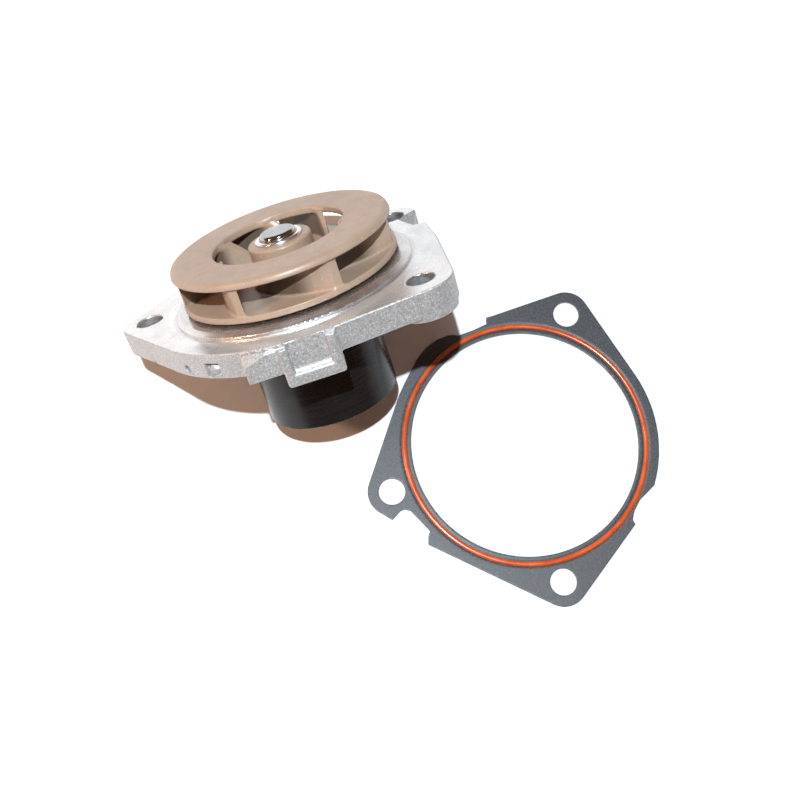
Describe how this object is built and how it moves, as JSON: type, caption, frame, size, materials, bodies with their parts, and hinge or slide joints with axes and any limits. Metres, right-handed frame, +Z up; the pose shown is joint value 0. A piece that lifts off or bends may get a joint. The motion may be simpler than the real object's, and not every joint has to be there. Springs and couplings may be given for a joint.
{
  "type": "water pump",
  "caption": "Engine coolant pump with an aluminium flange housing, closed plastic impeller, smooth black pulley, sealed shaft bearing and a loose beaded steel gasket.",
  "frame": {"origin": "centre of the object's box, on the bench surface it lies on", "axes": "+Z up from the bench; +X along the longest side, from the pump towards the loose gasket; the shaft slopes up towards -X and +Y"},
  "size_m": [0.1812, 0.1353, 0.0814],
  "materials": {
    "cast_aluminium": "as cast, with a machined flange face",
    "bearing_steel": "ground",
    "shaft_steel": "ground and polished",
    "insert_steel": "turned",
    "spring_steel": "drawn wire",
    "seal_metal": "drawn sheet",
    "seal_rubber": "moulded",
    "carbon": "lapped",
    "cage_plastic": "moulded",
    "impeller_plastic": "glass-filled moulding",
    "pulley_black": "smooth gloss",
    "gasket_coating": "speckled coating on sheet steel",
    "bead_silicone": "moulded bead"
  },
  "bodies": {
    "housing": {"housing": "cast_aluminium", "bearing_outer_ring": "bearing_steel", "bearing_seal_front": "seal_rubber", "bearing_seal_rear": "seal_rubber", "seal_cup": "seal_metal", "seal_bellows": "seal_rubber", "seal_spring": "spring_steel", "seal_carbon_ring": "carbon"},
    "rotor": {"shaft": "shaft_steel", "pulley": "pulley_black", "impeller": "impeller_plastic", "impeller_insert": "insert_steel", "seal_mating_ring": "carbon", "seal_mating_boot": "seal_rubber"},
    "ball_train": {"ball_1": "bearing_steel", "ball_2": "bearing_steel", "ball_3": "bearing_steel", "ball_4": "bearing_steel", "ball_5": "bearing_steel", "ball_6": "bearing_steel", "ball_7": "bearing_steel", "ball_8": "bearing_steel", "ball_cage": "cage_plastic"},
    "roller_train": {"roller_1": "bearing_steel", "roller_2": "bearing_steel", "roller_3": "bearing_steel", "roller_4": "bearing_steel", "roller_5": "bearing_steel", "roller_6": "bearing_steel", "roller_7": "bearing_steel", "roller_8": "bearing_steel", "roller_cage": "cage_plastic"},
    "gasket": {"gasket_carrier": "gasket_coating", "sealing_bead": "bead_silicone"}
  },
  "joints": [
    {"name": "shaft_spin", "type": "hinge", "parent": "housing", "child": "rotor", "pos_m": [-0.03525, 0.03009, 0.04295], "axis": [-0.3124, 0.7185, 0.6214], "continuous": true},
    {"name": "ball_orbit", "type": "hinge", "parent": "housing", "child": "ball_train", "pos_m": [-0.02975, 0.01744, 0.03202], "axis": [-0.3124, 0.7185, 0.6214], "continuous": true},
    {"name": "roller_orbit", "type": "hinge", "parent": "housing", "child": "roller_train", "pos_m": [-0.02638, 0.00968, 0.02531], "axis": [-0.3124, 0.7185, 0.6214], "continuous": true},
    {"name": "gasket_lift", "type": "slide", "parent": "housing", "child": "gasket", "axis": [0, 0, 1], "range_m": [0, 0.03]}
  ],
  "couplings": [
    {"joint": "ball_orbit", "follows": "shaft_spin", "ratio": 0.40196},
    {"joint": "roller_orbit", "follows": "shaft_spin", "ratio": 0.40523}
  ]
}
